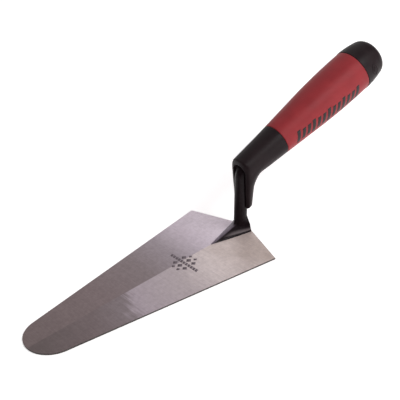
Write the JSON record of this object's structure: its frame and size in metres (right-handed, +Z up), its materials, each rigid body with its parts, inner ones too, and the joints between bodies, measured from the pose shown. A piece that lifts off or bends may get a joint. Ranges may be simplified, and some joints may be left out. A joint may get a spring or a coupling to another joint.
{
  "type": "round-nosed masonry trowel",
  "caption": "Gauging trowel with a flat ground-steel blade, straight sides and a round nose, a cranked shank and a soft-sleeved moulded handle with a finger guard.",
  "frame": {"origin": "the point on the blade's flat underside where the post's centre line meets it, just in front of the heel's apex", "axes": "+X along the blade's middle line towards the round nose, +Z up out of the blade towards the handle, +Y completes the right-handed frame; the handle runs back over -X"},
  "size_m": [0.3072, 0.086, 0.0941],
  "materials": {
    "ground_steel": "satin",
    "black_lacquer": "gloss",
    "hard_black_plastic": "satin",
    "soft_red_grip": "satin",
    "cap_black_plastic": "satin"
  },
  "bodies": {
    "root": {"blade": "ground_steel", "shank": "black_lacquer", "handle_core": "hard_black_plastic", "grip_sleeve": "soft_red_grip", "butt_cap": "cap_black_plastic"}
  },
  "joints": []
}
